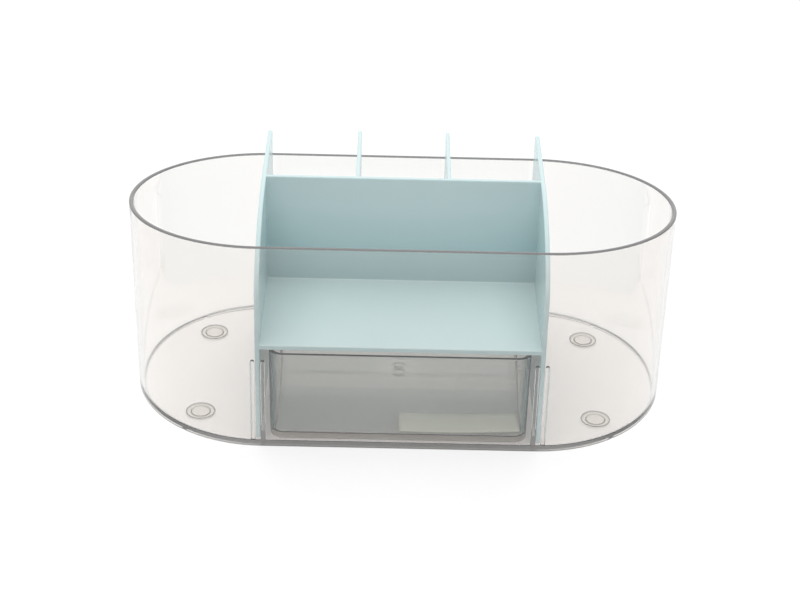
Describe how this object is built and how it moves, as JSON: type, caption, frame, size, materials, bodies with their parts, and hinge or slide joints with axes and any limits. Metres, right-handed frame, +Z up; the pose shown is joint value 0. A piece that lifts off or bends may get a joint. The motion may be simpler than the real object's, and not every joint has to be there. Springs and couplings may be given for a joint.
{
  "type": "brush holder with drawer",
  "caption": "Clear obround desk tub with a lift-out divided insert for brushes, a shelf and a smoked drawer that slides out under it",
  "frame": {"origin": "middle of the tub's plan, on the surface it stands on", "axes": "+X along the tub, +Y to the front where the drawer opens, +Z up"},
  "size_m": [0.2998, 0.1498, 0.1274],
  "materials": {
    "clear_styrene": "gloss moulded",
    "aqua_plastic": "satin moulded",
    "smoked_styrene": "gloss moulded",
    "paper": "matt paper",
    "clear_silicone": "soft satin"
  },
  "bodies": {
    "tub": {"tub": "clear_styrene", "foot_back_left": "clear_silicone", "foot_back_right": "clear_silicone", "foot_front_left": "clear_silicone", "foot_front_right": "clear_silicone"},
    "insert": {"insert": "aqua_plastic"},
    "drawer": {"drawer": "smoked_styrene", "paper_strip": "paper"}
  },
  "joints": [
    {"name": "insert_lift", "type": "slide", "parent": "tub", "child": "insert", "axis": [0, 0, 1], "range_m": [0, 0.13]},
    {"name": "drawer_slide", "type": "slide", "parent": "tub", "child": "drawer", "axis": [0, 1, 0], "range_m": [0, 0.11]}
  ]
}
